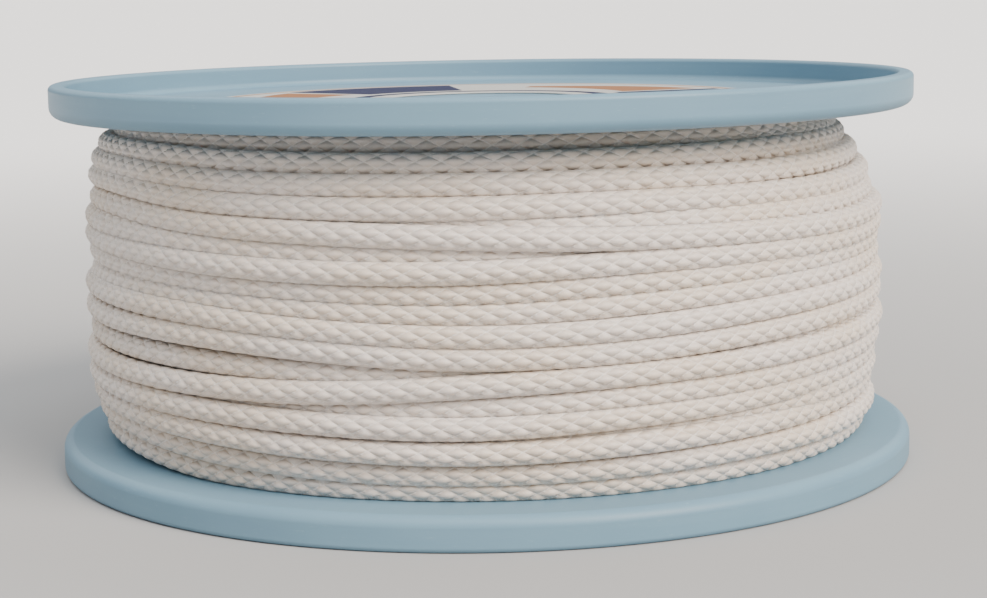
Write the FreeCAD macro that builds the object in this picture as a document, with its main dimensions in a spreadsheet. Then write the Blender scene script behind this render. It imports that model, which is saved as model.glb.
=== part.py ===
"""Reel of braided cord: two dished plastic flanges on a barrel, the cord wound between them.

Millimetres, +Z up. The origin is on the spindle axis, in the face that the reel stands on.
"""
import FreeCAD, Part
import Sketcher
import math
import os
import re

from FreeCAD import Placement, Rotation, Vector

# Driving dimensions: alias, value, meaning
SIZES = [
    ("flange_diameter", 105.0, "outer diameter of both flanges"),
    ("flange_depth", 3.9, "height of a flange's rim, along the axis"),
    ("web_thickness", 0.9, "plate of a flange, at its winding side"),
    ("rim_wall", 2.0, "radial thickness of the raised rim"),
    ("rim_back_round", 1.3, "rounding of the rim's edge beside the cord"),
    ("rim_face_round", 0.6, "rounding of the rim's outer edge"),
    ("rim_inner_round", 0.5, "rounding of the rim's inner edge"),
    ("recess_round", 0.8, "rounding at the foot of the rim, in the recess"),
    ("winding_width", 38.8, "clear width between the two flanges"),
    ("barrel_diameter", 40.0, "outer diameter of the barrel"),
    ("barrel_wall", 1.6, "wall of the barrel"),
    ("collar_clearance", 0.1, "radial clearance of a flange's collar in the barrel"),
    ("collar_height", 6.0, "how far a collar reaches into the barrel"),
    ("collar_wall", 1.6, "wall of a collar"),
    ("collar_lead", 0.5, "lead-in chamfer of a collar"),
    ("spindle_bore", 16.0, "diameter of the spindle bore"),
    ("bore_chamfer", 0.5, "chamfer at the mouth of the spindle bore"),
    ("sleeve_wall", 2.2, "wall of the sleeve round the spindle bore"),
    ("sleeve_gap", 0.4, "gap between the two sleeves at mid width"),
    ("rib_thickness", 1.2, "thickness of a rib between sleeve and collar"),
    ("rib_drop", 0.8, "how far the ribs stay below the collar's top"),
    ("rib_count", 6, "ribs in each flange"),
    ("label_diameter", 70.0, "outer diameter of the paper label"),
    ("label_hole", 24.0, "hole in the middle of the paper label"),
    ("label_thickness", 0.2, "paper of the label, with its adhesive"),
    ("winding_diameter", 98.0, "outside diameter of the winding at its crown"),
    ("winding_crown", 2.5, "how much lower the end turns lie than the crown"),
    ("turn_diameter", 2.3, "thickness of the cord where it lies wound"),
    ("turn_gap", 0.45, "least air between neighbouring turns"),
    ("cord_clearance", 0.3, "air between the cord and what it touches"),
    ("tuck_radius", 2.6, "bend where an end of the outer layer turns inwards"),
    ("pocket_clearance", 0.2, "air round a tucked end, in the lower layers"),
]

# Radii and heights that several features share, as formulas on the sizes
RIM_RADIUS = "flange_diameter / 2"
RECESS_RADIUS = f"({RIM_RADIUS} - rim_wall)"
RECESS_FLOOR = "(flange_depth - web_thickness)"
BORE_RADIUS = "spindle_bore / 2"
SLEEVE_RADIUS = f"({BORE_RADIUS} + sleeve_wall)"
SLEEVE_TOP = "(flange_depth + winding_width / 2 - sleeve_gap / 2)"
COLLAR_RADIUS = "(barrel_diameter / 2 - barrel_wall - collar_clearance)"
COLLAR_BORE = f"({COLLAR_RADIUS} - collar_wall)"
COLLAR_TOP = "(flange_depth + collar_height)"
OVERALL_HEIGHT = "(2 * flange_depth + winding_width)"
MID_HEIGHT = "(flange_depth + winding_width / 2)"
HALF_SPAN = "(winding_width / 2 - cord_clearance - turn_diameter / 2)"
CROWN_RADIUS = "(winding_diameter / 2 - turn_diameter / 2)"
CROWN_ARC = f"(({HALF_SPAN} ^ 2 + winding_crown ^ 2) / (2 * winding_crown))"
LAYERS_ARC = f"({CROWN_ARC} - turn_diameter / 2 - cord_clearance)"
LAYERS_HALF_WIDTH = "(winding_width / 2 - cord_clearance)"
LAYERS_END = (
    f"({CROWN_RADIUS} - {CROWN_ARC} + sqrt({LAYERS_ARC} ^ 2 - {LAYERS_HALF_WIDTH} ^ 2))"
)

ALIASES = {alias for alias, _, _ in SIZES}

doc = FreeCAD.newDocument("StringReel")
sheet = doc.addObject("Spreadsheet::Sheet", "Sizes")
for row, (alias, value, meaning) in enumerate(SIZES, start=1):
    sheet.set(f"A{row}", meaning)
    sheet.set(f"B{row}", str(value))
    sheet.setAlias(f"B{row}", alias)
doc.recompute()


def worked_out(formula):
    """The number that a formula on the sizes stands for."""
    return float(sheet.evalExpression(formula))


def bind(thing, prop, formula):
    """Ties a property of an object to a formula on the sizes."""
    def from_sheet(word):
        return "Sizes." + word.group() if word.group() in ALIASES else word.group()

    thing.setExpression(prop, re.sub("[a-z_]+", from_sheet, formula))


def new_body(name, label):
    """An empty body, written under its label."""
    body = doc.addObject("PartDesign::Body", name)
    body.Label = label
    return body


def new_sketch(body, name, role):
    """A sketch on one of its own body's origin planes."""
    sketch = body.newObject("Sketcher::SketchObject", name)
    plane = next(plane for plane in body.Origin.OriginFeatures if plane.Role == role)
    sketch.AttachmentSupport = [(plane, "")]
    sketch.MapMode = "FlatFace"
    return sketch


def pin(sketch, geometry, point, across, up):
    """Ties a point of the sketch to its place, given as two formulas."""
    for kind, formula in (("DistanceX", across), ("DistanceY", up)):
        constraint = Sketcher.Constraint(kind, -1, 1, geometry, point, worked_out(formula))
        bind(sketch, f"Constraints[{sketch.addConstraint(constraint)}]", formula)


def measure(sketch, kind, geometry, formula):
    """Gives a curve of the sketch its radius or diameter."""
    constraint = Sketcher.Constraint(kind, geometry, worked_out(formula))
    bind(sketch, f"Constraints[{sketch.addConstraint(constraint)}]", formula)


def join(sketch, curves):
    """Closes a run of curves: each one's end is the next one's start."""
    for curve, following in zip(curves, curves[1:] + curves[:1]):
        sketch.addConstraint(Sketcher.Constraint("Coincident", curve, 2, following, 1))


def straight(sketch, start, end):
    """A line between two (across, up) pairs of formulas."""
    spots = [Vector(worked_out(across), worked_out(up), 0) for across, up in (start, end)]
    return sketch.addGeometry(Part.LineSegment(*spots), False)


def outline(sketch, corners):
    """A closed outline of lines through corners given as pairs of formulas."""
    lines = [
        straight(sketch, corner, following)
        for corner, following in zip(corners, corners[1:] + corners[:1])
    ]
    join(sketch, lines)
    for line, (across, up) in zip(lines, corners):
        pin(sketch, line, 1, across, up)


def centred_circle(sketch, diameter):
    """A circle round the sketch's origin."""
    ring = Part.Circle(Vector(0, 0, 0), Vector(0, 0, 1), worked_out(diameter) / 2)
    curve = sketch.addGeometry(ring, False)
    sketch.addConstraint(Sketcher.Constraint("Coincident", curve, 3, -1, 1))
    measure(sketch, "Diameter", curve, diameter)


def revolved(body, name, sketch):
    """The sketch turned once round the body's Z axis."""
    turned = body.newObject("PartDesign::Revolution", name)
    turned.Profile = sketch
    turned.ReferenceAxis = (sketch, ["V_Axis"])
    turned.Angle = 360
    doc.recompute()
    return turned


def padded(body, name, sketch, height):
    """The sketch pulled up by a height."""
    pad = body.newObject("PartDesign::Pad", name)
    pad.Profile = sketch
    bind(pad, "Length", height)
    doc.recompute()
    return pad


def eased(body, kind, name, base, across, up, amount):
    """A fillet or chamfer on the full circle that runs through (across, up)."""
    radius = worked_out(across)
    height = worked_out(up)
    edges = []
    for number, edge in enumerate(base.Shape.Edges, start=1):
        curve = edge.Curve
        if not isinstance(curve, Part.Circle):
            continue
        if math.hypot(curve.Radius - radius, curve.Center.z - height) < 1e-4:
            edges.append(f"Edge{number}")
    if len(edges) != 1:
        raise ValueError(f"{name}: {len(edges)} edges at radius {radius}, height {height}")
    ease = body.newObject(f"PartDesign::{kind}", name)
    ease.Base = (base, edges)
    bind(ease, "Radius" if kind == "Fillet" else "Size", amount)
    doc.recompute()
    return ease


# Flange: one dished moulding with its collar, its ribs and half of the spindle sleeve

def make_flange(name, label):
    """The moulding with its recess down and its rim's face on Z = 0."""
    body = new_body(name, label)
    section = new_sketch(body, name + "Section", "XZ_Plane")
    outline(section, [
        (BORE_RADIUS, RECESS_FLOOR),
        (RECESS_RADIUS, RECESS_FLOOR),
        (RECESS_RADIUS, "0"),
        (RIM_RADIUS, "0"),
        (RIM_RADIUS, "flange_depth"),
        (COLLAR_RADIUS, "flange_depth"),
        (COLLAR_RADIUS, COLLAR_TOP),
        (COLLAR_BORE, COLLAR_TOP),
        (COLLAR_BORE, "flange_depth"),
        (SLEEVE_RADIUS, "flange_depth"),
        (SLEEVE_RADIUS, SLEEVE_TOP),
        (BORE_RADIUS, SLEEVE_TOP),
    ])
    last = revolved(body, name + "Dish", section)
    for kind, feature, across, up, amount in [
        ("Fillet", "BackRound", RIM_RADIUS, "flange_depth", "rim_back_round"),
        ("Fillet", "FaceRound", RIM_RADIUS, "0", "rim_face_round"),
        ("Fillet", "InnerRound", RECESS_RADIUS, "0", "rim_inner_round"),
        ("Fillet", "RecessRound", RECESS_RADIUS, RECESS_FLOOR, "recess_round"),
        ("Chamfer", "CollarLead", COLLAR_RADIUS, COLLAR_TOP, "collar_lead"),
        ("Chamfer", "BoreMouth", BORE_RADIUS, RECESS_FLOOR, "bore_chamfer"),
    ]:
        last = eased(body, kind, name + feature, last, across, up, amount)

    # Ribs reach into the walls that they join, so that they fuse with them
    side = new_sketch(body, name + "RibSide", "XZ_Plane")
    inner = f"({SLEEVE_RADIUS} - sleeve_wall / 2)"
    outer = f"({COLLAR_BORE} + collar_wall / 2)"
    foot = "(flange_depth - web_thickness / 2)"
    crest = f"({COLLAR_TOP} - rib_drop)"
    outline(side, [(inner, foot), (outer, foot), (outer, crest), (inner, crest)])
    rib = padded(body, name + "Rib", side, "rib_thickness")
    rib.SideType = "Symmetric"
    ribs = body.newObject("PartDesign::PolarPattern", name + "Ribs")
    ribs.Originals = [rib]
    ribs.Axis = (side, ["V_Axis"])
    ribs.Angle = 360
    bind(ribs, "Occurrences", "rib_count")
    body.Tip = ribs
    doc.recompute()
    return body


lower_flange = make_flange("LowerFlange", "lower_flange")
upper_flange = make_flange("UpperFlange", "upper_flange")
upper_flange.Placement = Placement(Vector(0, 0, 0), Rotation(Vector(1, 0, 0), 180))
bind(upper_flange, "Placement.Base.z", OVERALL_HEIGHT)


# Barrel: the tube that the cord is wound on, seated on both collars

barrel = new_body("Barrel", "barrel")
barrel_end = new_sketch(barrel, "BarrelEnd", "XY_Plane")
centred_circle(barrel_end, "barrel_diameter")
centred_circle(barrel_end, "barrel_diameter - 2 * barrel_wall")
padded(barrel, "BarrelTube", barrel_end, "winding_width")
bind(barrel, "Placement.Base.z", "flange_depth")


# Label: a paper ring on the recess floor of the upper flange

upper_label = new_body("UpperLabel", "upper_label")
label_cut = new_sketch(upper_label, "LabelCut", "XY_Plane")
centred_circle(label_cut, "label_diameter")
centred_circle(label_cut, "label_hole")
padded(upper_label, "LabelPaper", label_cut, "label_thickness")
bind(upper_label, "Placement.Base.z", f"{OVERALL_HEIGHT} - {RECESS_FLOOR}")


# Outer layer: one tube that winds once along the crowned surface of the lower layers

mid_height = worked_out(MID_HEIGHT)
crown_radius = worked_out(CROWN_RADIUS)
crown_arc = worked_out(CROWN_ARC)
turn_diameter = worked_out("turn_diameter")
tuck_radius = worked_out("tuck_radius")
pitch = turn_diameter + worked_out("turn_gap")
half_turns = math.floor(4 * worked_out(HALF_SPAN) / pitch)


def layer_point(half_turn):
    """The cord's middle after some half turns, its direction there and the way outwards."""
    angle = math.pi * (half_turn + 0.5)
    rise = pitch / (2 * math.pi)
    height = pitch / 2 * (half_turn - half_turns / 2)
    drop = math.sqrt(crown_arc ** 2 - height ** 2)
    radius = crown_radius - crown_arc + drop
    outward = Vector(math.cos(angle), math.sin(angle), 0)
    onward = Vector(-math.sin(angle), math.cos(angle), 0)
    way = onward * radius - outward * (rise * height / drop) + Vector(0, 0, rise)
    return outward * radius + Vector(0, 0, mid_height + height), way.normalize(), outward


def arc_between(start, corner, end):
    """The arc that touches both equal legs of a corner at their ends."""
    chord_middle = (start + end) * 0.5
    to_corner = corner - chord_middle
    half_chord = (end - start).Length / 2
    bulge = half_chord * math.tan(math.atan2(to_corner.Length, half_chord) / 2)
    return Part.Arc(start, chord_middle + to_corner * (bulge / to_corner.Length), end)


def half_turn_arcs(half_turn):
    """The two arcs of one half turn, which share their direction where they meet."""
    start, start_way, _ = layer_point(half_turn)
    end, end_way, _ = layer_point(half_turn + 1)
    across = end - start
    spread = 2 * (1 - start_way.dot(end_way))
    lean = across.dot(start_way + end_way)
    leg = (math.sqrt(lean ** 2 + spread * across.dot(across)) - lean) / spread
    first_corner = start + start_way * leg
    second_corner = end - end_way * leg
    joint = (first_corner + second_corner) * 0.5
    return [arc_between(start, first_corner, joint), arc_between(joint, second_corner, end)]


def tuck_points(half_turn, sign):
    """Where an end leaves the layer, the corner of its bend, and the bend's foot."""
    start, way, outward = layer_point(half_turn)
    corner = start + way * (sign * tuck_radius)
    return start, corner, corner - outward * tuck_radius, outward


def pipe(name, edges, radius):
    """A round tube along a run of edges, its radius bound to the sizes."""
    route = doc.addObject("Part::Feature", name + "Route")
    route.Shape = Part.Wire([edge.toShape() for edge in edges])
    start, end = (edges[0].value(p) for p in (edges[0].FirstParameter, edges[0].LastParameter))
    ring = doc.addObject("Part::Circle", name + "Ring")
    bind(ring, "Radius", radius)
    ring.Placement = Placement(start, Rotation(Vector(0, 0, 1), end - start))
    tube = doc.addObject("Part::Sweep", name)
    tube.Sections = [ring]
    tube.Spine = (route, [])
    tube.Solid = True
    tube.Frenet = False
    return tube


def least_air(wire, thickness):
    """Least gap of a tube to itself, from points along its middle, near parts left out."""
    step = thickness / 5
    points = wire.discretize(Distance=step)
    skipped = math.ceil(math.pi * thickness / step)
    cells = {}
    for number, point in enumerate(points):
        cell = tuple(int(value // (2 * thickness)) for value in point)
        cells.setdefault(cell, []).append(number)
    least = math.inf
    shifts = [(x, y, z) for x in (-1, 0, 1) for y in (-1, 0, 1) for z in (-1, 0, 1)]
    for cell, numbers in cells.items():
        near = [
            other
            for shift in shifts
            for other in cells.get(tuple(map(sum, zip(cell, shift))), [])
        ]
        for number in numbers:
            for other in near:
                if other - number > skipped:
                    least = min(least, points[number].distanceToPoint(points[other]))
    return least - thickness


first, first_corner, first_foot, first_outward = tuck_points(0, -1)
last, last_corner, last_foot, last_outward = tuck_points(half_turns, 1)
first_end = first_foot - first_outward * turn_diameter
last_end = last_foot - last_outward * turn_diameter
cord_run = [Part.LineSegment(first_end, first_foot), arc_between(first_foot, first_corner, first)]
for half_turn in range(half_turns):
    cord_run += half_turn_arcs(half_turn)
cord_run += [arc_between(last, last_corner, last_foot), Part.LineSegment(last_foot, last_end)]
outer_layer = pipe("OuterLayer", cord_run, "turn_diameter / 2")
outer_layer.Label = "cord_outer_layer"


# Lower layers: one crowned ring of cord, with a pocket for each tucked end

layers = new_body("LowerLayers", "lower_layers_blank")
layers_section = new_sketch(layers, "LowerLayersSection", "XZ_Plane")
inside = "(barrel_diameter / 2 + cord_clearance)"
bottom = f"({MID_HEIGHT} - {LAYERS_HALF_WIDTH})"
top = f"({MID_HEIGHT} + {LAYERS_HALF_WIDTH})"
layers_arc = worked_out(LAYERS_ARC)
opening = math.asin(worked_out(LAYERS_HALF_WIDTH) / layers_arc)
arc_centre = Vector(crown_radius - crown_arc, mid_height, 0)
crown = Part.ArcOfCircle(
    Part.Circle(arc_centre, Vector(0, 0, 1), layers_arc), -opening, opening
)
crown_curve = layers_section.addGeometry(crown, False)
sides = [
    straight(layers_section, (LAYERS_END, top), (inside, top)),
    straight(layers_section, (inside, top), (inside, bottom)),
    straight(layers_section, (inside, bottom), (LAYERS_END, bottom)),
]
join(layers_section, [crown_curve] + sides)
pin(layers_section, sides[0], 1, LAYERS_END, top)
pin(layers_section, sides[1], 1, inside, top)
pin(layers_section, sides[2], 1, inside, bottom)
pin(layers_section, crown_curve, 1, LAYERS_END, bottom)
measure(layers_section, "Radius", crown_curve, LAYERS_ARC)
revolved(layers, "LowerLayersRing", layers_section)

inner_layers = layers
for name, start, corner, foot, end in [
    ("FirstPocket", first, first_corner, first_foot, first_end),
    ("LastPocket", last, last_corner, last_foot, last_end),
]:
    deeper = end + (end - foot).normalize() * worked_out("pocket_clearance")
    run = [Part.LineSegment(deeper, foot), arc_between(foot, corner, start)]
    cut = doc.addObject("Part::Cut", name + "Cut")
    cut.Base = inner_layers
    cut.Tool = pipe(name, run, "turn_diameter / 2 + pocket_clearance")
    inner_layers = cut
inner_layers.Label = "cord_inner_layers"


# Checks, then one file for each piece

doc.recompute()
for thing in doc.Objects:
    if "Invalid" in thing.State or "Error" in thing.State:
        raise RuntimeError(f"{thing.Name}: {thing.State}")

pieces = [lower_flange, upper_flange, barrel, upper_label, inner_layers, outer_layer]
for piece in pieces:
    if piece.Shape.isNull() or not piece.Shape.isValid() or len(piece.Shape.Solids) != 1:
        raise RuntimeError(f"{piece.Label} isn't one valid solid")

cord_wire = Part.Wire([curve.toShape() for curve in cord_run])
air = least_air(cord_wire, turn_diameter)
print(f"outer layer: {half_turns / 2:g} turns, {cord_wire.Length:.0f} mm, least gap {air:.3f} mm")
if air <= 0.4:
    raise ValueError("the outer layer comes too near to itself")

os.makedirs("parts", exist_ok=True)
for piece in pieces:
    piece.Shape.exportStep(f"parts/{piece.Label}.step")
    box = piece.Shape.optimalBoundingBox()
    print(f"{piece.Label}: {box.XLength:.2f} x {box.YLength:.2f} x {box.ZLength:.2f} mm")
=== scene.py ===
"""Looks of the cord reel: its two flanges, the printed paper ring and the braided cord on it.

Sizes are in millimetres, as in the part's source, unless a name or docstring says otherwise;
meshes are made in metres. Azimuths are in degrees from the front, to the right.
"""
import logging
import math
from dataclasses import dataclass
from enum import Enum

import bpy
import numpy as np
from mathutils import Matrix, Vector


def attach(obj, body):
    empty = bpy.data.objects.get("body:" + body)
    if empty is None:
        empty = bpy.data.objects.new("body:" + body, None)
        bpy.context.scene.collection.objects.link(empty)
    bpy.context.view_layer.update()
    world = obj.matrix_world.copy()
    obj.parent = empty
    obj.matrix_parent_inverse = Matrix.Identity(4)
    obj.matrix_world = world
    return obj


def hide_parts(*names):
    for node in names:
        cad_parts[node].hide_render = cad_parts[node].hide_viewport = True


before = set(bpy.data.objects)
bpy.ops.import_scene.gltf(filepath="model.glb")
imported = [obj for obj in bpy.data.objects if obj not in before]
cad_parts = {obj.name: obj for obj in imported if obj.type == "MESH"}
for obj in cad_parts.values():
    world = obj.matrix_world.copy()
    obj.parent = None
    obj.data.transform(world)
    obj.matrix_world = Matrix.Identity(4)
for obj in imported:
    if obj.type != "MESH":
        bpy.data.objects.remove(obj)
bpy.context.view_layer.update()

MM = 0.001
FULL_TURN = 2 * math.pi
BODY = "root"
BRAID_MAP = "braid"
STEPS_PER_CELL = 6
SHARP_ABOVE_DEGREES = 40.0
WELD_WITHIN_METRES = 1e-6
EYE_DISTANCE = 261.96
EYE_HEIGHT = 57.68

Colour = tuple[float, float, float]

log = logging.getLogger("reel")


# Meshes

def new_object(name: str, mesh: bpy.types.Mesh) -> bpy.types.Object:
    """Puts a mesh into the scene.

    Args:
        name: name of the new object.
        mesh: its mesh, in metres.

    Returns:
        The object, at the origin.
    """
    thing = bpy.data.objects.new(name, mesh)
    bpy.context.scene.collection.objects.link(thing)
    return thing


def ring_mesh(name: str, grid: np.ndarray, uv: np.ndarray | None = None) -> bpy.types.Mesh:
    """Makes a smooth mesh of quads from rings of points.

    Args:
        name: name of the mesh.
        grid: points in metres, shaped rings by columns by 3; the last column joins the first.
        uv: braid coordinates of the same rings, with one column more that closes them.

    Returns:
        The mesh.
    """
    rings, columns = grid.shape[:2]
    ring = np.arange(rings - 1)[:, None]
    here = np.arange(columns)[None, :]
    first = ring * columns
    following = (here + 1) % columns
    corners = np.stack(
        [first + here, first + following, first + columns + following, first + columns + here], -1
    ).reshape(-1, 4)
    mesh = bpy.data.meshes.new(name)
    mesh.vertices.add(rings * columns)
    mesh.vertices.foreach_set("co", grid.reshape(-1).astype(np.float32))
    mesh.loops.add(corners.size)
    mesh.loops.foreach_set("vertex_index", corners.reshape(-1).astype(np.int32))
    mesh.polygons.add(len(corners))
    mesh.polygons.foreach_set("loop_start", np.arange(0, corners.size, 4, dtype=np.int32))
    mesh.polygons.foreach_set("use_smooth", np.ones(len(corners), bool))
    if uv is not None:
        spots = np.stack(
            [uv[ring, here], uv[ring, here + 1], uv[ring + 1, here + 1], uv[ring + 1, here]], 2
        )
        layer = mesh.uv_layers.new(name=BRAID_MAP)
        layer.data.foreach_set("uv", spots.reshape(-1).astype(np.float32))
    mesh.update()
    mesh.validate()
    return mesh


@dataclass(frozen=True)
class Corner:
    """A corner of a turned outline: distance from the axis, height and rounding."""

    across: float
    up: float
    rounding: float = 0.0


def rounded_outline(corners: list[Corner], steps: int) -> np.ndarray:
    """Rounds the corners of an outline and closes it.

    Args:
        corners: the outline's corners in order.
        steps: edges along each rounding.

    Returns:
        The outline's points in mm, as rows of (across, up), the last the same as the first.
    """
    points: list[Vector] = []
    for number, corner in enumerate(corners):
        at = Vector((corner.across, corner.up))
        if corner.rounding <= 0:
            points.append(at)
            continue
        before = corners[number - 1]
        after = corners[(number + 1) % len(corners)]
        back = (Vector((before.across, before.up)) - at).normalized()
        on = (Vector((after.across, after.up)) - at).normalized()
        half = back.angle(on) / 2
        leg = corner.rounding / math.tan(half)
        centre = at + (back + on).normalized() * (corner.rounding / math.sin(half))
        start = at + back * leg - centre
        end = at + on * leg - centre
        for step in range(steps + 1):
            blend = start.lerp(end, step / steps)
            points.append(centre + blend.normalized() * corner.rounding)
    return np.array([tuple(point) for point in points + points[:1]])


def turned(
    name: str, outline: np.ndarray, segments: int, uv: np.ndarray | None = None
) -> bpy.types.Object:
    """Turns a closed outline round the Z axis.

    Args:
        name: name of the new object and of its mesh.
        outline: rows of (across, up) in mm, the last the same as the first.
        segments: facets in a full turn.
        uv: braid coordinates of each row, with one column more than there are facets.

    Returns:
        The object, not yet welded where its outline closes.
    """
    angle = np.linspace(0, FULL_TURN, segments, endpoint=False)
    across = outline[:, 0:1] * MM
    up = np.repeat(outline[:, 1:2] * MM, segments, 1)
    grid = np.stack([across * np.cos(angle), across * np.sin(angle), up], -1)
    return new_object(name, ring_mesh(name, grid, uv))


def soften(thing: bpy.types.Object) -> None:
    """Welds a turned mesh where its outline closes, and evens out its shading.

    Args:
        thing: the object; its sharp edges stay sharp.
    """
    weld = thing.modifiers.new("weld", "WELD")
    weld.merge_threshold = WELD_WITHIN_METRES
    thing.data.set_sharp_from_angle(angle=math.radians(SHARP_ABOVE_DEGREES))
    even = thing.modifiers.new("even", "WEIGHTED_NORMAL")
    even.keep_sharp = True


# Shader building

@dataclass(frozen=True)
class Grain:
    """A soft noise: its fineness along three numbers, its finer layers and their roughness."""

    fineness: tuple[float, float, float]
    detail: float
    roughness: float = 0.5


class Shader:
    """One material with a principled surface, and the nodes that feed it.

    place is the surface point's x, y and z in the row frame, in mm.
    """

    def __init__(self, name: str) -> None:
        """Starts a plain material.

        Args:
            name: the material's name.
        """
        self.material = bpy.data.materials.new(name)
        self.material.use_nodes = True
        self.tree = self.material.node_tree
        self.tree.nodes.clear()
        self.surface = self.node("ShaderNodeBsdfPrincipled")
        self.node("ShaderNodeOutputMaterial", links={"Surface": self.surface.outputs[0]})
        coordinates = self.node("ShaderNodeTexCoord")
        self.place = tuple(part / MM for part in self.parts(coordinates.outputs["Object"]))

    def node(
        self,
        kind: str,
        settings: dict[str, object] | None = None,
        links: dict[str | int, object] | None = None,
    ) -> bpy.types.Node:
        """Adds a node.

        Args:
            kind: the node's type.
            settings: its own settings, set first.
            links: for each input, by name or number, a number, a colour, a socket or a Term.

        Returns:
            The node.
        """
        made = self.tree.nodes.new(kind)
        for setting, value in (settings or {}).items():
            setattr(made, setting, value)
        for place, value in (links or {}).items():
            self.feed(made.inputs[place], value)
        return made

    def feed(self, socket: bpy.types.NodeSocket, value: object) -> None:
        """Sets an input to a plain value, or links it.

        Args:
            socket: the input.
            value: a number, a colour, a socket or a Term.
        """
        if isinstance(value, Term):
            value = value.socket
        if isinstance(value, bpy.types.NodeSocket):
            self.tree.links.new(value, socket)
        elif socket.type == "RGBA":
            socket.default_value = (*value, 1.0)
        else:
            socket.default_value = value

    def finish(self, inputs: dict[str, object]) -> bpy.types.Material:
        """Feeds the surface.

        Args:
            inputs: for each of the surface's inputs, by name, what feeds it.

        Returns:
            The finished material.
        """
        for name, value in inputs.items():
            self.feed(self.surface.inputs[name], value)
        return self.material

    def parts(self, vector: bpy.types.NodeSocket) -> tuple["Term", "Term", "Term"]:
        """A vector's three numbers."""
        split = self.node("ShaderNodeSeparateXYZ", links={0: vector})
        return tuple(Term(self, part) for part in split.outputs)

    def braid_place(self) -> tuple["Term", "Term"]:
        """The surface point's place along and around the braid, in cells."""
        return self.parts(self.node("ShaderNodeUVMap", {"uv_map": BRAID_MAP}).outputs[0])[:2]

    def noise(
        self, grain: Grain, at: tuple["Term", "Term", "Term"] | None = None
    ) -> "Term":
        """Soft noise from 0 to 1.

        Args:
            grain: what it is like.
            at: the three numbers that it is read at, or else the surface point's place.

        Returns:
            The noise.
        """
        scaled = [number * fine for number, fine in zip(at or self.place, grain.fineness)]
        vector = self.node("ShaderNodeCombineXYZ", links=dict(enumerate(scaled)))
        links = {
            "Vector": vector.outputs[0],
            "Scale": 1.0,
            "Detail": grain.detail,
            "Roughness": grain.roughness,
        }
        return Term(self, self.node("ShaderNodeTexNoise", links=links).outputs[0])

    def mix(self, share: object, first: object, second: object) -> bpy.types.NodeSocket:
        """Blends two colours.

        Args:
            share: how much of the second there is, from 0 to 1.
            first: the first colour.
            second: the second colour.

        Returns:
            The blended colour.
        """
        # The node's colours are its inputs 6 and 7 and its output 2
        settings = {"data_type": "RGBA", "clamp_factor": True}
        return self.node("ShaderNodeMix", settings, {0: share, 6: first, 7: second}).outputs[2]

    def bump(self, height: "Term", distance: float) -> bpy.types.NodeSocket:
        """A normal that follows a height.

        Args:
            height: the height, about 0 to 1.
            distance: how far 1 stands up, in mm.

        Returns:
            The normal.
        """
        links = {"Height": height, "Distance": distance * MM, "Strength": 1.0}
        return self.node("ShaderNodeBump", links=links).outputs[0]


class Term:
    """A number that varies over a surface. Arithmetic on it adds Math nodes."""

    def __init__(self, shader: Shader, socket: bpy.types.NodeSocket) -> None:
        """Wraps an output socket of that shader's tree."""
        self.shader = shader
        self.socket = socket

    def _math(self, operation: str, *values: object) -> "Term":
        """One Math node on some values."""
        settings, links = {"operation": operation}, dict(enumerate(values))
        return Term(self.shader, self.shader.node("ShaderNodeMath", settings, links).outputs[0])

    def __add__(self, other: object) -> "Term":
        """Sum."""
        return self._math("ADD", self, other)

    __radd__ = __add__

    def __sub__(self, other: object) -> "Term":
        """Difference."""
        return self._math("SUBTRACT", self, other)

    def __rsub__(self, other: object) -> "Term":
        """Difference from a plain number."""
        return self._math("SUBTRACT", other, self)

    def __mul__(self, other: object) -> "Term":
        """Product."""
        return self._math("MULTIPLY", self, other)

    __rmul__ = __mul__

    def __truediv__(self, other: object) -> "Term":
        """Quotient."""
        return self._math("DIVIDE", self, other)

    def floor(self) -> "Term":
        """The whole number below it."""
        return self._math("FLOOR", self)

    def fraction(self) -> "Term":
        """What is left above the whole number below it."""
        return self._math("FRACT", self)

    def size(self) -> "Term":
        """The number without its sign."""
        return self._math("ABSOLUTE", self)

    def least(self, other: object) -> "Term":
        """The lesser of the two."""
        return self._math("MINIMUM", self, other)

    def most(self, other: object) -> "Term":
        """The greater of the two."""
        return self._math("MAXIMUM", self, other)

    def root(self) -> "Term":
        """Square root."""
        return self._math("SQRT", self)

    def angle_to(self, across: object) -> "Term":
        """The angle of (across, self), in radians."""
        return self._math("ARCTAN2", self, across)

    def ramp(self, low: float, high: float) -> "Term":
        """A soft rise.

        Args:
            low: it is 0 below this.
            high: it is 1 above this.

        Returns:
            The number from 0 to 1.
        """
        settings = {"interpolation_type": "SMOOTHSTEP", "clamp": True}
        links = {"Value": self, "From Min": low, "From Max": high}
        return Term(self.shader, self.shader.node("ShaderNodeMapRange", settings, links).outputs[0])

    def band(self, limits: tuple[float, float], edge: float) -> "Term":
        """1 between two limits and 0 beyond them, with soft edges of that width inside them."""
        low, high = limits
        return self.ramp(low, low + edge) * (1 - self.ramp(high - edge, high))


def linear(red: int, green: int, blue: int) -> Colour:
    """A screen colour, 0 to 255, as the linear one that a shader takes, by the sRGB curve."""
    shares = (red / 255, green / 255, blue / 255)
    return tuple(s / 12.92 if s <= 0.04045 else ((s + 0.055) / 1.055) ** 2.4 for s in shares)


# Finishes

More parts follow.
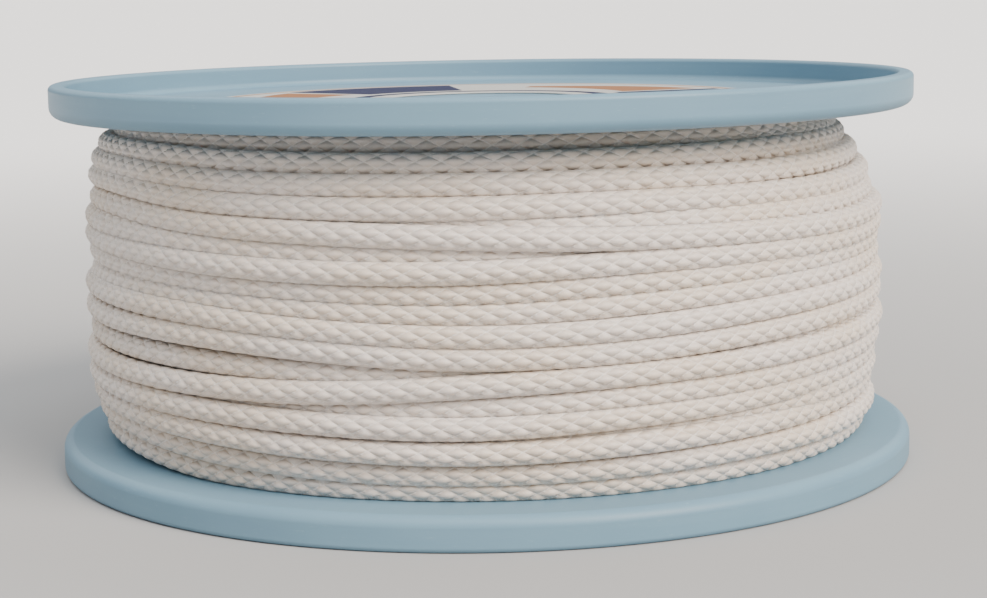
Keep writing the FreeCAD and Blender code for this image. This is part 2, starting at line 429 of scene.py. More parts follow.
@dataclass(frozen=True)
class MouldedPlastic:
    """Pale blue satin moulding with faint clouds, flow marks and scuffs.

    Each range holds the noise's values between which its mark comes up.
    """

    tint: Colour = linear(115, 149, 169)
    deeper: Colour = linear(108, 142, 163)
    scuffed: Colour = linear(190, 208, 220)
    cloud: Grain = Grain((0.05, 0.05, 0.05), 3.0)
    cloud_range: tuple[float, float] = (0.3, 0.7)
    cloud_share: float = 0.6
    cloud_roughness: float = 0.04
    cloud_height: float = 3.0
    flow: Grain = Grain((0.05, 0.05, 0.6), 3.0)
    flow_range: tuple[float, float] = (0.35, 0.65)
    flow_share: float = 0.4
    scuff: Grain = Grain((0.64, 0.64, 4.8), 5.0, 0.7)
    scuff_range: tuple[float, float] = (0.60, 0.72)
    scuff_share: float = 0.14
    scuff_roughness: float = 0.12
    fine: Grain = Grain((1.3, 1.3, 1.3), 4.0, 0.6)
    fine_roughness: float = 0.06
    fine_height: float = 0.6
    roughness: float = 0.40
    specular: float = 0.38
    peel: float = 0.012

    def material(self, name: str) -> bpy.types.Material:
        """Makes the finish.

        Args:
            name: the material's name.

        Returns:
            The material.
        """
        shader = Shader(name)
        cloud = shader.noise(self.cloud)
        flow = shader.noise(self.flow).ramp(*self.flow_range)
        scuff = shader.noise(self.scuff).ramp(*self.scuff_range)
        fine = shader.noise(self.fine)
        shade = cloud.ramp(*self.cloud_range) * self.cloud_share + flow * self.flow_share
        colour = shader.mix(shade, self.tint, self.deeper)
        colour = shader.mix(scuff * self.scuff_share, colour, self.scuffed)
        roughness = self.roughness + fine * self.fine_roughness
        roughness = roughness + scuff * self.scuff_roughness + cloud * self.cloud_roughness
        height = fine * self.fine_height + cloud * self.cloud_height
        return shader.finish({
            "Base Color": colour,
            "Roughness": roughness,
            "Specular IOR Level": self.specular,
            "Normal": shader.bump(height, self.peel),
        })


@dataclass(frozen=True)
class PrintedPaper:
    """Coated paper with a plain geometric border; its paper tones are greyed as painted shade for
    the recess it lies in.

    The print repeats round the axis. Runs and places within a repeat are shares of it, and the
    pair of each ring or band holds its inner and outer radius.
    """

    # paper and fibres: greyed below the sheet's own white as painted shade, for the shade that
    # falls into the flange's recess.
    paper: Colour = linear(186, 187, 184)
    fibres: Colour = linear(170, 170, 166)
    navy: Colour = linear(34, 36, 70)
    rust: Colour = linear(152, 104, 68)
    repeats: int = 3
    navy_ring: tuple[float, float] = (14.5, 16.55)
    rust_ring: tuple[float, float] = (33.3, 34.15)
    ring_edge: float = 0.05
    arc_band: tuple[float, float] = (18.0, 32.5)
    arc_middle: float = 0.79
    arc_half_run: float = 0.183
    swoosh_run: float = 0.42
    run_edge: float = 0.002
    swoosh_radius: float = 25.5
    swoosh_half_width: float = 5.5
    swoosh_taper: float = 4.0
    blot_edge: float = 0.1
    fibre: Grain = Grain((2.4, 2.4, 2.4), 5.0, 0.65)
    fibre_share: float = 0.25
    fibre_roughness: float = 0.14
    fibre_height: float = 0.1
    cockle: Grain = Grain((0.06, 0.06, 0.06), 2.0)
    cockle_height: float = 0.25
    roughness: float = 0.42
    specular: float = 0.2

    def _navy(self, distance: Term, part: Term) -> Term:
        """Where the navy ink lies.

        Args:
            distance: distance from the axis.
            part: place within a repeat.

        Returns:
            1 on the ink, else 0.
        """
        off_middle = (part - self.arc_middle).size()
        beside = off_middle.ramp(self.arc_half_run, self.arc_half_run + self.run_edge)
        arc = (1 - beside) * distance.band(self.arc_band, self.blot_edge)
        return arc.most(distance.band(self.navy_ring, self.ring_edge))

    def _rust(self, distance: Term, part: Term) -> Term:
        """Where the rust ink lies.

        Args:
            distance: distance from the axis.
            part: place within a repeat.

        Returns:
            1 on the ink, else 0.
        """
        taper = (part / self.swoosh_run).least(1.0) * self.swoosh_taper
        off_middle = (distance - self.swoosh_radius).size() + taper
        beside = off_middle.ramp(self.swoosh_half_width, self.swoosh_half_width + self.blot_edge)
        beyond = part.ramp(self.swoosh_run, self.swoosh_run + self.run_edge)
        swoosh = (1 - beside) * (1 - beyond)
        return swoosh.most(distance.band(self.rust_ring, self.ring_edge))

    def material(self, name: str) -> bpy.types.Material:
        """Makes the finish.

        Args:
            name: the material's name.

        Returns:
            The material.
        """
        shader = Shader(name)
        x, y, _ = shader.place
        distance = (x * x + y * y).root()
        part = (y.angle_to(x) / FULL_TURN * self.repeats + self.arc_middle).fraction()
        fibre = shader.noise(self.fibre)
        colour = shader.mix(fibre * self.fibre_share, self.paper, self.fibres)
        colour = shader.mix(self._navy(distance, part), colour, self.navy)
        colour = shader.mix(self._rust(distance, part), colour, self.rust)
        height = fibre * self.fibre_height + shader.noise(self.cockle)
        return shader.finish({
            "Base Color": colour,
            "Roughness": self.roughness + fibre * self.fibre_roughness,
            "Specular IOR Level": self.specular,
            "Normal": shader.bump(height, self.cockle_height),
        })


@dataclass(frozen=True)
class BraidedFilament:
    """Off-white braided filament, read from the cord's braid coordinates.

    Two sets of strands run slantwise, left and right, and cross as over and under. Each range holds
    the values between which its mark comes up. The seams carry a painted highlight, a pale colour
    for the light that the strands' edges catch. glow is the light that the strands scatter inside
    them, and glow_depth how deep it goes.
    """

    bright: Colour = linear(219, 209, 201)
    warm: Colour = linear(217, 203, 188)
    patch: Grain = Grain((0.05, 0.05, 0.16), 3.0)
    patch_range: tuple[float, float] = (0.4, 0.65)
    # Painted highlight: a pale colour along the seams between cells, for the light that the
    # strands' edges catch.
    painted_seam_highlight: Colour = linear(250, 246, 240)
    painted_highlight_range: tuple[float, float] = (0.02, 0.08)
    painted_highlight_share: float = 0.5
    dull: Colour = linear(200, 195, 189)
    filament: Grain = Grain((11.0, 0.9, 7.0), 3.0, 0.7)
    filament_range: tuple[float, float] = (0.35, 0.7)
    filament_share: float = 0.22
    filament_roughness: float = 0.16
    filament_height: float = 0.18
    speckled: Colour = linear(150, 146, 138)
    speck: Grain = Grain((1.1, 1.1, 1.1), 1.0)
    speck_range: tuple[float, float] = (0.80, 0.83)
    speck_share: float = 0.5
    roughness: float = 0.33
    specular: float = 0.55
    glow: float = 0.7
    glow_spread: Colour = (1.0, 0.92, 0.80)
    glow_depth: float = 0.55
    sheen: float = 0.15
    sheen_roughness: float = 0.5
    relief: float = 0.18

    @staticmethod
    def _to_middle(within: Term) -> Term:
        """How a strand falls off to its sides: 1 in its middle and 0 at its edges."""
        side = (within - 0.5).size() * 2
        return 1 - side * side * side

    def material(self, name: str) -> bpy.types.Material:
        """Makes the finish.

        Args:
            name: the material's name.

        Returns:
            The material.
        """
        shader = Shader(name)
        along, around = shader.braid_place()
        left = along + around
        right = along - around
        over = ((left.floor() + right.floor()) * 0.5).fraction() * 2.0
        across = left * (1 - over) + right * over
        run = right * (1 - over) + left * over
        left_in, right_in = left.fraction(), right.fraction()
        edge = left_in.least(1 - left_in).least(right_in.least(1 - right_in))
        pillow = self._to_middle(left_in) * self._to_middle(right_in)
        filament = shader.noise(self.filament, (across, run, over))
        patch = shader.noise(self.patch).ramp(*self.patch_range)
        speck = shader.noise(self.speck).ramp(*self.speck_range)
        colour = shader.mix(patch, self.bright, self.warm)
        dulled = filament.ramp(*self.filament_range) * self.filament_share
        colour = shader.mix(dulled, colour, self.dull)
        # Painted highlight along the seams.
        colour = shader.mix((1 - edge.ramp(*self.painted_highlight_range)) * self.painted_highlight_share, colour, self.painted_seam_highlight)
        colour = shader.mix(speck * self.speck_share, colour, self.speckled)
        return shader.finish({
            "Base Color": colour,
            "Roughness": self.roughness + filament * self.filament_roughness,
            "Specular IOR Level": self.specular,
            "Subsurface Weight": self.glow,
            "Subsurface Radius": self.glow_spread,
            "Subsurface Scale": self.glow_depth * MM,
            "Sheen Weight": self.sheen,
            "Sheen Roughness": self.sheen_roughness,
            "Normal": shader.bump(pillow + filament * self.filament_height, self.relief),
        })


@dataclass(frozen=True)
class PaleFloor:
    """A dull pale floor with painted shade: greyer close to the reel, standing in for a contact
    shadow, so that it also throws less light up at it.
    """

    # Painted shade: the grey close to the reel stands in for its contact shadow; fade gives the
    # distances in mm over which it gives way to the pale far colour.
    near_painted_shade: Colour = (0.40, 0.40, 0.40)
    near_painted_shade_patches: Colour = (0.42, 0.42, 0.42)
    far: Colour = (0.93, 0.93, 0.93)
    fade: tuple[float, float] = (50.0, 600.0)
    patch: Grain = Grain((0.01, 0.01, 0.01), 2.0)
    roughness: float = 0.9
    specular: float = 0.1

    def material(self, name: str) -> bpy.types.Material:
        """Makes the finish.

        Args:
            name: the material's name.

        Returns:
            The material.
        """
        shader = Shader(name)
        x, y, _ = shader.place
        # Painted shade round the reel, fading out to the pale far floor.
        away = (x * x + y * y).root().ramp(*self.fade)
        colour = shader.mix(shader.noise(self.patch), self.near_painted_shade, self.near_painted_shade_patches)
        return shader.finish({
            "Base Color": shader.mix(away, colour, self.far),
            "Roughness": self.roughness,
            "Specular IOR Level": self.specular,
        })


# Sub-assemblies

class Side(Enum):
    """Which of the reel's two ends."""

    LOWER = "lower_flange"
    UPPER = "upper_flange"


@dataclass
class Flange:
    """One dished moulding with its collar, ribs and half of the spindle sleeve.

    Its outline is drawn as the lower flange's, with the recess down.
    """

    side: Side
    finish: MouldedPlastic
    radius: float = 52.5
    depth: float = 3.9
    web: float = 0.9
    rim_wall: float = 2.0
    back_round: float = 1.3
    face_round: float = 0.6
    inner_round: float = 0.5
    recess_round: float = 0.8
    collar_outer: float = 18.3
    collar_inner: float = 16.7
    collar_height: float = 6.0
    collar_lead: float = 0.5
    sleeve_outer: float = 10.2
    bore: float = 8.0
    bore_chamfer: float = 0.5
    bore_round: float = 0.1
    sleeve_height: float = 19.2
    rib_count: int = 6
    rib_thickness: float = 1.2
    rib_drop: float = 0.8
    rib_root: float = 0.6
    overall: float = 46.6
    round_steps: int = 7
    segments: int = 288

    def section(self) -> list[Corner]:
        """Draws the moulding's section.

        Returns:
            Its corners, recess down.
        """
        floor = self.depth - self.web
        back = self.depth
        recess = self.radius - self.rim_wall
        collar_top = back + self.collar_height
        sleeve_top = back + self.sleeve_height
        return [
            Corner(self.bore + self.bore_chamfer, floor, self.bore_round),
            Corner(recess, floor, self.recess_round),
            Corner(recess, 0.0, self.inner_round),
            Corner(self.radius, 0.0, self.face_round),
            Corner(self.radius, back, self.back_round),
            Corner(self.collar_outer, back),
            Corner(self.collar_outer, collar_top - self.collar_lead),
            Corner(self.collar_outer - self.collar_lead, collar_top),
            Corner(self.collar_inner, collar_top),
            Corner(self.collar_inner, back),
            Corner(self.sleeve_outer, back),
            Corner(self.sleeve_outer, sleeve_top),
            Corner(self.bore, sleeve_top),
            Corner(self.bore, floor + self.bore_chamfer, self.bore_round),
        ]

    def ribs(self) -> bpy.types.Mesh:
        """Makes the ribs, which root in the web, the sleeve and the collar.

        Returns:
            One mesh of plain blocks, recess down.
        """
        low = self.depth - self.web / 2
        high = self.depth + self.collar_height - self.rib_drop
        inner = self.sleeve_outer - self.rib_root
        outer = self.collar_inner + self.rib_root
        half = self.rib_thickness / 2
        plan = ((inner, -half), (outer, -half), (outer, half), (inner, half))
        sides = (
            (3, 2, 1, 0), (4, 5, 6, 7), (0, 1, 5, 4), (1, 2, 6, 5), (2, 3, 7, 6), (3, 0, 4, 7),
        )
        points: list[Vector] = []
        faces: list[list[int]] = []
        for number in range(self.rib_count):
            turn = Matrix.Rotation(FULL_TURN * number / self.rib_count, 3, "Z")
            base = len(points)
            for height in (low, high):
                for across, aside in plan:
                    points.append(turn @ Vector((across, aside, height)) * MM)
            for side in sides:
                faces.append([base + corner for corner in side])
        mesh = bpy.data.meshes.new(f"{self.side.value}_ribs")
        mesh.from_pydata(points, [], faces)
        return mesh

    def build(self) -> bpy.types.Object:
        """Makes the moulding at its place and gives it its finish.

        Returns:
            The piece, which stands for the flange's node.
        """
        name = f"{self.side.value}_moulding"
        thing = turned(name, rounded_outline(self.section(), self.round_steps), self.segments)
        ribs = new_object(name + "_ribs", self.ribs())
        with bpy.context.temp_override(
            active_object=thing, object=thing, selected_objects=[thing, ribs],
            selected_editable_objects=[thing, ribs],
        ):
            bpy.ops.object.join()
        if self.side is Side.UPPER:
            lift = Matrix.Translation((0, 0, self.overall * MM))
            thing.data.transform(lift @ Matrix.Rotation(math.pi, 4, "X"))
        soften(thing)
        thing.data.materials.append(self.finish.material(name))
        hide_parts(self.side.value)
        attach(thing, BODY)
        return thing


@dataclass
class PaperRing:
    """The printed paper ring in the upper flange's recess."""

    finish: PrintedPaper
    outer: float = 35.0
    inner: float = 12.0
    seat: float = 43.6
    thickness: float = 0.2
    curl: float = 0.05
    round_steps: int = 3
    segments: int = 288

    def build(self) -> bpy.types.Object:
        """Makes the ring and gives it its print.

        Returns:
            The piece, which stands for the label's node.
        """
        top = self.seat + self.thickness
        section = [
            Corner(self.inner, self.seat),
            Corner(self.outer, self.seat),
            Corner(self.outer, top, self.curl),
            Corner(self.inner, top, self.curl),
        ]
        outline = rounded_outline(section, self.round_steps)
        thing = turned("paper_ring", outline, self.segments)
        soften(thing)
        thing.data.materials.append(self.finish.material("paper_ring"))
        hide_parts("upper_label")
        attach(thing, BODY)
        return thing


@dataclass(frozen=True)
class Turn:
    """One turn of the outer cord, at the winding's seven azimuths.

    heights are those of the middle of its visible band as the camera sees them, and sunk is how
    far its outside lies below the winding's crown.
    """

    heights: tuple[float, ...]
    sunk: tuple[float, ...]


@dataclass(frozen=True)
class Wave:
    """A slow swing along the cord: its size, its rate and where it starts."""

    size: float
    rate: float
    phase: float

    def at(self, place: np.ndarray) -> np.ndarray:
        """The swing at places along the cord."""
        return self.size * np.sin(place * self.rate + self.phase)


@dataclass(frozen=True)
class Settling:
    """How the turns come to rest against each other, round by round.

    pull is the share of the way that a turn goes back to where it was read; the free rounds at
    the end have none. up_give and out_give are the shares of an overlap that a round clears. The
    upper one of two turns takes inner_gives of that where it lies further in, or else
    outer_gives, and the lower one takes the rest. blur smooths the cord, in samples.
    """

    rounds: int = 120
    free_rounds: int = 30
    pull: float = 0.06
    neighbours: int = 4
    up_give: float = 0.22
    out_give: float = 0.6
    inner_gives: float = 0.85
    outer_gives: float = 0.15
    blur: float = 0.8


@dataclass
class Winding:
    """The outer turns of the braided cord, as one unbroken cord.

    pick is the length of a braid cell and relief the depth of its seams, which fade by the share
    pressed on the flanks, where turns press on each other. nearest is how close the middles of
    two turns may come, low and high are the limits of their heights, and read_at is the radius
    that the turns' heights were read at. The crown falls off towards both flanges: from, reach
    and fall give where that starts, how far it goes and by how much. From the azimuth drift_from
    on, the cord drifts a little on the reel's back, and each of its ends is tucked in over
    tuck_run degrees. The columns of points round the cord are in braid cells.
    """

    finish: BraidedFilament
    width: float = 2.6
    pick: float = 2.66
    relief: float = 0.26
    pressed: float = 0.8
    strands: int = 10
    nearest: float = 1.75
    crown: float = 49.2
    top_from: float = 31.0
    top_reach: float = 10.0
    top_fall: float = 3.2
    bottom_from: float = 12.0
    bottom_reach: float = 7.0
    bottom_fall: float = 1.3
    read_at: float = 48.4
    reading_blur: float = 6.0
    low: float = 5.1
    high: float = 41.4
    per_turn: int = 360
    settling: Settling = Settling()
    drift_waves: tuple[Wave, ...] = (
        Wave(0.16, 0.47, 0.4), Wave(0.13, 1.31, 2.1), Wave(0.09, 2.83, 4.4),
    )
    drift_from: float = 60.0
    drift_rise: float = 40.0
    roll_waves: tuple[Wave, ...] = (Wave(0.22, 1 / 410, 0.0), Wave(0.13, 1 / 173, 1.0))
    tuck_run: float = 40.0
    tuck_depth: float = 4.0
    close_columns: int = 10
    flank_column: float = 2.08
    azimuths: tuple[float, ...] = (-62, -42, -22, -2, 18, 38, 58)
    turns: tuple[Turn, ...] = (
        Turn((6.5, 5.65, 5.5, 5.5, 5.6, 5.5, 5.4), (1.2, 1.2, 1.2, 1.2, 1.2, 1.1, 1.1)),
        Turn((8.8, 7.9, 7.55, 7.35, 7.5, 7.8, 7.5), (0.9, 0.9, 0.9, 0.9, 0.8, 0.6, 0.4)),
        Turn((10.6, 10.25, 9.75, 9.4, 9.9, 10.2, 10.2), (0.7, 0.1, 0.1, 0.1, 0.2, 0.6, 1.2)),
        Turn((11.6, 11.5, 11.2, 10.9, 11.25, 11.5, 11.95), (1.5, 1.5, 1.5, 1.5, 1.3, 1.0, 0.9)),
        Turn((12.6, 12.65, 12.4, 12.0, 12.85, 13.1, 13.8), (0.1, 0.0, 0.0, 0.0, 0.1, 0.4, 0.8)),
        Turn((13.75, 13.75, 14.0, 14.35, 14.9, 15.1, 15.6), (1.5, 1.5, 1.4, 0.8, 0.3, 0.3, 0.5)),
        Turn((15.05, 15.25, 15.5, 16.75, 17.25, 17.4, 17.6), (0.0, 0.0, 0.0, 0.0, 0.0, 0.0, 0.0)),
        Turn((17.85, 18.0, 17.85, 17.85, 18.5, 19.0, 19.1), (0.6, 0.6, 0.9, 1.5, 1.5, 1.4, 1.4)),
        Turn((20.5, 20.8, 20.25, 19.3, 19.6, 20.25, 20.6), (0.0, 0.0, 0.0, 0.0, 0.1, 0.2, 0.3)),
        Turn((23.3, 23.1, 22.25, 21.65, 22.0, 22.75, 22.9), (0.1, 0.0, 0.0, 0.0, 0.0, 0.0, 0.1)),
        Turn((25.1, 24.9, 24.35, 24.0, 24.6, 25.2, 25.25), (1.0, 0.8, 0.6, 0.5, 0.4, 0.4, 0.6)),
        Turn((27.2, 26.75, 26.25, 26.15, 26.85, 27.0, 27.1), (0.8, 0.8, 0.7, 0.6, 0.5, 0.5, 0.7)),
        Turn((29.25, 28.7, 28.35, 28.35, 29.1, 29.0, 28.7), (0.3, 0.0, 0.0, 0.0, 0.2, 0.3, 0.4)),
        Turn((31.3, 30.7, 30.35, 30.25, 29.95, 29.9, 29.6), (0.4, 0.6, 0.8, 1.2, 1.5, 1.5, 1.5)),
        Turn((33.8, 32.75, 32.5, 32.1, 31.4, 31.1, 30.6), (0.8, 0.3, 0.1, 0.0, 0.0, 0.0, 0.1)),
        Turn((35.1, 34.0, 33.65, 33.4, 33.15, 32.9, 32.7), (1.5, 1.5, 1.5, 1.4, 0.9, 0.8, 1.5)),
        Turn((36.4, 35.2, 34.95, 35.05, 35.25, 35.05, 34.9), (0.1, 0.2, 0.2, 0.2, 0.3, 0.7, 1.5)),
        Turn((38.2, 37.5, 37.35, 37.5, 37.55, 37.35, 37.4), (-0.3, 0.0, 0.1, 0.1, 0.3, 1.0, 2.1)),
        Turn((40.0, 39.65, 39.52, 39.62, 39.68, 39.6, 39.8), (-0.4, 0.2, 0.4, 0.4, 0.6, 1.3, 2.5)),
        Turn((41.4, 41.5, 41.5, 41.5, 41.5, 41.5, 41.5), (0.7, 1.4, 1.8, 2.0, 2.1, 2.3, 2.8)),
    )

    def crown_at(self, height: np.ndarray) -> np.ndarray:
        """The outside of the proudest turns.

        Args:
            height: heights in mm.

        Returns:
            The radius in mm at each height.
        """
        top = np.clip((height - self.top_from) / self.top_reach, 0, None)
        bottom = np.clip((self.bottom_from - height) / self.bottom_reach, 0, None)
        return self.crown - self.top_fall * top ** 2 - self.bottom_fall * bottom ** 2

    def _spread(self, rows: list[tuple[float, ...]]) -> np.ndarray:
        """Spreads what was read at the azimuths over the whole cord.

        Args:
            rows: each turn's values at the azimuths.

        Returns:
            The value at every sample of the cord.
        """
        known_at = [360 * turn + azimuth for turn in range(len(rows)) for azimuth in self.azimuths]
        known = [value for row in rows for value in row]
        at = 360.0 * np.arange(len(rows) * self.per_turn) / self.per_turn - 180
        return np.interp(at, known_at, known)

    @staticmethod
    def _smoothed(values: np.ndarray, width: float) -> np.ndarray:
        """Smooths values along the cord.

        Args:
            values: the value at every sample.
            width: width of the smoothing bell, in samples.

        Returns:
            As many smoothed values.
        """
        reach = int(3 * width)
        bell = np.exp(-0.5 * (np.arange(-reach, reach + 1) / width) ** 2)
        padded = np.pad(values, reach, mode="edge")
        return np.convolve(padded, bell / bell.sum(), mode="valid")

    def _drift(self, count: int) -> np.ndarray:
        """Lets the cord wander a little behind the reel, where its turns climb.

        Args:
            count: how many samples the cord has.

        Returns:
            How far up the cord lies at each sample, in mm.
        """
        angle = FULL_TURN * np.arange(count) / self.per_turn
        azimuth = np.degrees(angle) % 360 - 180
        behind = np.clip((np.abs(azimuth) - self.drift_from) / self.drift_rise, 0, 1)
        return sum(wave.at(angle) for wave in self.drift_waves) * behind

    def _part(self, heights: np.ndarray, radii: np.ndarray) -> None:
        """Moves turns that overlap a step apart.

        Args:
            heights: height of the cord's middle, turns by samples; it is changed in place.
            radii: its distance from the axis, in the same way.
        """
        settling = self.settling
        for apart in range(1, settling.neighbours + 1):
            up = heights[apart:] - heights[:-apart]
            out = radii[apart:] - radii[:-apart]
            distance = np.maximum(np.hypot(up, out), 1e-6)
            push = np.maximum(self.nearest - distance, 0) / distance
            upper_share = np.where(out < 0, settling.inner_gives, settling.outer_gives)
            heights[apart:] += settling.up_give * push * up * upper_share
            heights[:-apart] -= settling.up_give * push * up * (1 - upper_share)
            radii[apart:] += settling.out_give * push * out * upper_share
            radii[:-apart] -= settling.out_give * push * out * (1 - upper_share)

    def settled(self) -> tuple[np.ndarray, np.ndarray]:
        """Lets the turns rest against each other.

        Returns:
            The cord's distance from the axis and its height at each sample, in mm.
        """
        settling = self.settling
        count = len(self.turns) * self.per_turn
        blur = self.reading_blur * self.per_turn / 360
        seen = self._spread([turn.heights for turn in self.turns]) + self._drift(count)
        seen = self._smoothed(seen, blur)
        sunk = self._smoothed(self._spread([turn.sunk for turn in self.turns]), blur)
        outside = self.crown_at(seen) - sunk
        slope = (EYE_HEIGHT - seen) / (EYE_DISTANCE - self.read_at)
        height = seen - slope * (self.width / 2 + self.read_at - outside)
        radius = outside - self.width / 2
        wish_height, wish_radius = height.copy(), radius.copy()
        shape = (len(self.turns), self.per_turn)
        for number in range(settling.rounds):
            pull = settling.pull if number < settling.rounds - settling.free_rounds else 0.0
            height += pull * (wish_height - height)
            radius += pull * (wish_radius - radius)
            self._part(height.reshape(shape), radius.reshape(shape))
            height = self._smoothed(np.clip(height, self.low, self.high), settling.blur)
            radius = self._smoothed(radius, settling.blur)
        azimuth = 360.0 * np.arange(count) / self.per_turn
        from_end = np.minimum(azimuth, azimuth[-1] - azimuth)
        tuck = np.clip(1 - from_end / self.tuck_run, 0, 1)
        return radius - self.tuck_depth * tuck ** 2, height

    def route(self) -> np.ndarray:
        """Lays the cord round the barrel.

        Returns:
            Points of its middle in mm, with the same number of even steps to each braid cell.
        """
        radius, height = self.settled()
        angle = FULL_TURN * np.arange(len(radius)) / self.per_turn + math.pi / 2
        points = np.stack([radius * np.cos(angle), radius * np.sin(angle), height], -1)
        run = np.concatenate([[0], np.cumsum(np.linalg.norm(np.diff(points, axis=0), axis=1))])
        places = np.arange(0, run[-1], self.pick / STEPS_PER_CELL)
        angles, radii, heights = (np.interp(places, run, each) for each in (angle, radius, height))
        return np.stack([radii * np.cos(angles), radii * np.sin(angles), heights], -1)

    def columns(self) -> np.ndarray:
        """Places round the cord in braid cells: close together outside, few inside."""
        close = np.arange(-self.close_columns, self.close_columns + 1) / STEPS_PER_CELL
        return np.concatenate([[-self.flank_column], close, [self.flank_column, self.strands / 4]])

    @staticmethod
    def relief_at(along: np.ndarray, around: np.ndarray) -> np.ndarray:
        """Height of the braid's pillows.

        Args:
            along: place along the cord, in braid cells.
            around: place round it, in braid cells.

        Returns:
            The height, from 0 in the seams to 1.
        """
        left = np.abs(2 * ((along + around) % 1) - 1)
        right = np.abs(2 * ((along - around) % 1) - 1)
        return (1 - left ** 3) * (1 - right ** 3)

    def rings(self, route: np.ndarray) -> tuple[np.ndarray, np.ndarray]:
        """Sets rings of points, with the braid's relief, on the cord's middle.

        Args:
            route: points of the middle, in mm.

        Returns:
            The rings' points in mm and their braid coordinates.
        """
        way = np.gradient(route, axis=0)
        way /= np.linalg.norm(way, axis=1)[:, None]
        outward = route * (1, 1, 0)
        outward -= (outward * way).sum(1)[:, None] * way
        outward /= np.linalg.norm(outward, axis=1)[:, None]
        sideways = np.cross(way, outward)
        step = np.arange(len(route))
        roll = sum(wave.at(step) for wave in self.roll_waves)
        columns = self.columns()
        around = np.broadcast_to(columns[None, :], (len(route), len(columns)))
        along = (step / STEPS_PER_CELL)[:, None]
        angle = (around - roll[:, None]) * (FULL_TURN * 2 / self.strands)
        depth = self.relief * (1 - self.pressed * np.sin(angle) ** 4)
        thickness = self.width / 2 - depth * (1 - self.relief_at(along, around))
        grid = (
            route[:, None, :]
            + outward[:, None, :] * (np.cos(angle) * thickness)[..., None]
            + sideways[:, None, :] * (np.sin(angle) * thickness)[..., None]
        )
        closed = np.concatenate([around, around[:, :1] + self.strands / 2], 1)
        return grid, np.stack(np.broadcast_arrays(along, closed), -1)

    def build(self) -> bpy.types.Object:
        """Makes the braided cord along its route.

        Returns:
            The piece, which stands for the outer layer's node.
        """
        route = self.route()
        grid, uv = self.rings(route)
        thing = new_object("wound_cord", ring_mesh("wound_cord", grid * MM, uv))
        thing.data.materials.append(self.finish.material("wound_cord"))
        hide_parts("cord_outer_layer")
        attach(thing, BODY)
        length = np.linalg.norm(np.diff(route, axis=0), axis=1).sum()
        log.info("outer cord: %d turns, %.0f mm, %d rings", len(self.turns), length, len(route))
        return thing


@dataclass
class LowerLayers:
    """What shows of the lower layers between the outer turns: a ridged ring of the same cord."""

    finish: BraidedFilament
    inner: float = 20.3
    crown: float = 46.9
    end: float = 42.6
    low: float = 4.2
    high: float = 42.4
    ridge: float = 0.6
    spacing: float = 2.35
    pick: float = 2.66
    cells_per_ridge: int = 3
    rows: int = 160
    segments: int = 360

    def build(self) -> bpy.types.Object:
        """Makes the ring.

        Returns:
            The piece, which stands for the inner layers' node.
        """
        heights = np.linspace(self.low, self.high, self.rows)
        share = (heights - (self.low + self.high) / 2) / ((self.high - self.low) / 2)
        radii = self.crown - (self.crown - self.end) * share ** 2
        groove = 1 - np.abs(np.sin(math.pi * (heights - self.low) / self.spacing))
        radii = radii - self.ridge * groove
        outline = np.vstack([
            np.stack([radii, heights], -1),
            [[self.inner, self.high], [self.inner, self.low], [radii[0], self.low]],
        ])
        cells = round(FULL_TURN * self.crown / self.pick)
        along = np.linspace(0, cells, self.segments + 1)[None, :]
        around = (outline[:, 1] / self.spacing * self.cells_per_ridge)[:, None]
        uv = np.stack(np.broadcast_arrays(along, around), -1)
        thing = turned("lower_layers", outline, self.segments, uv)
        soften(thing)
        thing.data.materials.append(self.finish.material("lower_layers"))
        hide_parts("cord_inner_layers")
        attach(thing, BODY)
        return thing


@dataclass
class Barrel:
    """The tube inside the winding, which keeps its own solid."""

    finish: MouldedPlastic

    def dress(self) -> bpy.types.Object:
        """Gives the barrel's node its finish.

        Returns:
            The node's object.
        """
        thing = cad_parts["barrel"]
        thing.data.materials.clear()
        thing.data.materials.append(self.finish.material("barrel"))
        return thing


@dataclass(frozen=True)
class Lamp:
    """A far soft lamp: its azimuth from the front, height and spread in degrees, and its light."""

    name: str
    azimuth: float
    height: float
    spread: float
    power: float
    colour: Colour

    def hang(self) -> None:
        """Puts the lamp into the scene, turned to the reel."""
        data = bpy.data.lights.new(self.name, "SUN")
        data.angle = math.radians(self.spread)
        data.energy = self.power
        data.color = self.colour
        lamp = bpy.data.objects.new(self.name, data)
        bpy.context.scene.collection.objects.link(lamp)
        turn, rise = math.radians(self.azimuth), math.radians(self.height)
        towards = Vector(
            (math.cos(rise) * math.sin(turn), -math.cos(rise) * math.cos(turn), math.sin(rise))
        )
        lamp.location = towards
        lamp.rotation_mode = "QUATERNION"
        lamp.rotation_quaternion = (-towards).to_track_quat("-Z", "Y")


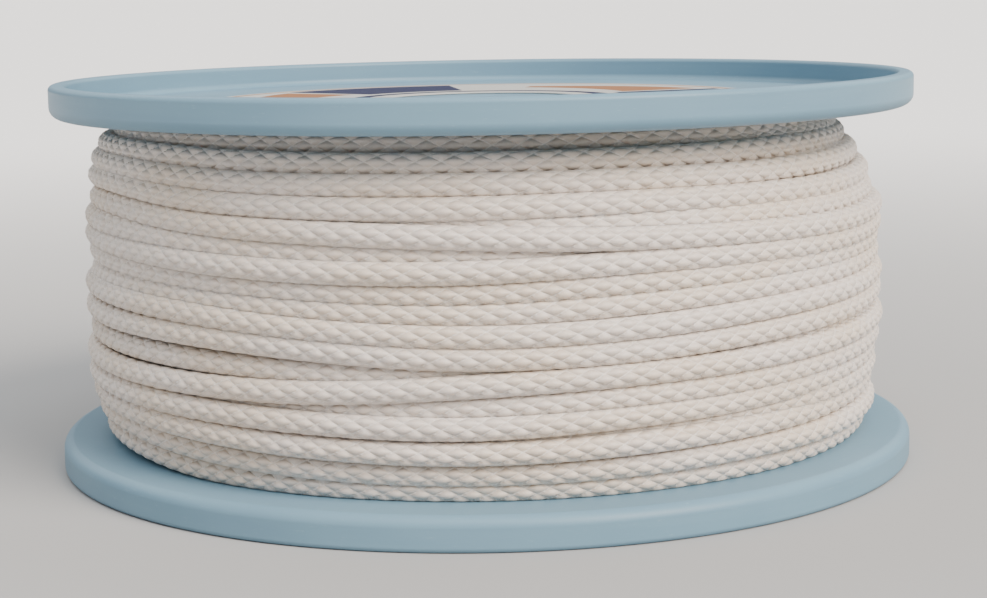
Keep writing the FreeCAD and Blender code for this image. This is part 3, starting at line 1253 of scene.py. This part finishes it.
@dataclass
class Studio:
    """Camera, pale floor and soft light.

    The angles are in degrees, and the clips and half of the floor's side in metres.
    """

    floor_finish: PaleFloor
    eye: tuple[float, float, float] = (0.0, -EYE_DISTANCE, EYE_HEIGHT)
    yaw: float = 0.237
    pitch: float = 8.501
    roll: float = 0.977
    focal_pixels: float = 2109.6
    picture_width: float = 987.0
    sensor: float = 36.0
    clip_near: float = 0.01
    clip_far: float = 50.0
    floor_half: float = 60.0
    floor_drop: float = 0.02
    sky: Colour = (0.95, 0.975, 1.0)
    sky_power: float = 0.24
    lamps: tuple[Lamp, ...] = (
        Lamp("key", 47.0, 36.0, 36.0, 5.6, (1.0, 0.90, 0.80)),
        Lamp("fill", -56.0, 34.0, 60.0, 0.8, (1.0, 0.98, 0.96)),
        Lamp("top", 10.0, 64.0, 34.0, 1.35, (0.98, 0.99, 1.0)),
        Lamp("back right", 140.0, 42.0, 60.0, 1.0, (0.98, 0.99, 1.0)),
        Lamp("back left", -140.0, 42.0, 60.0, 1.0, (0.98, 0.99, 1.0)),
    )

    def place_camera(self) -> None:
        """Puts the camera where the photograph was taken from."""
        yaw, pitch, roll = (math.radians(angle) for angle in (self.yaw, self.pitch, self.roll))
        right = Vector((math.cos(yaw), -math.sin(yaw), 0))
        level = Vector((math.sin(yaw), math.cos(yaw), 0))
        zenith = Vector((0, 0, 1))
        ahead = level * math.cos(pitch) - zenith * math.sin(pitch)
        up = level * math.sin(pitch) + zenith * math.cos(pitch)
        across = right * math.cos(roll) - up * math.sin(roll)
        upward = up * math.cos(roll) + right * math.sin(roll)
        data = bpy.data.cameras.new("camera")
        data.sensor_width = self.sensor
        data.lens = self.focal_pixels / self.picture_width * self.sensor
        data.clip_start = self.clip_near
        data.clip_end = self.clip_far
        camera = bpy.data.objects.new("camera", data)
        bpy.context.scene.collection.objects.link(camera)
        turn = Matrix((across, upward, -ahead)).transposed()
        camera.matrix_world = Matrix.Translation(Vector(self.eye) * MM) @ turn.to_4x4()
        bpy.context.scene.camera = camera

    def lay_floor(self) -> None:
        """Lays a wide pale floor under the reel."""
        half, level = self.floor_half, -self.floor_drop * MM
        around = ((-half, -half), (half, -half), (half, half), (-half, half))
        mesh = bpy.data.meshes.new("floor")
        mesh.from_pydata([(x, y, level) for x, y in around], [], [(0, 1, 2, 3)])
        floor = new_object("floor", mesh)
        mesh.materials.append(self.floor_finish.material("floor"))

    def light(self) -> None:
        """Lights the reel softly, mostly from the right and above."""
        world = bpy.data.worlds.new("studio")
        bpy.context.scene.world = world
        world.use_nodes = True
        background = world.node_tree.nodes["Background"]
        background.inputs["Color"].default_value = (*self.sky, 1.0)
        background.inputs["Strength"].default_value = self.sky_power
        for lamp in self.lamps:
            lamp.hang()


def main() -> None:
    """Builds the studio and the reel, piece by piece."""
    logging.basicConfig(level=logging.INFO, format="%(name)s: %(message)s")
    studio = Studio(PaleFloor())
    studio.place_camera()
    plastic = MouldedPlastic()
    filament = BraidedFilament()
    pieces = [
        Winding(filament).build(),
        LowerLayers(filament).build(),
        Flange(Side.LOWER, plastic).build(),
        Flange(Side.UPPER, plastic).build(),
        PaperRing(PrintedPaper()).build(),
        Barrel(plastic).dress(),
    ]
    for piece in pieces:
        log.info("%s: %d faces", piece.name, len(piece.data.polygons))
    studio.lay_floor()
    studio.light()


if __name__ == "__main__":
    main()
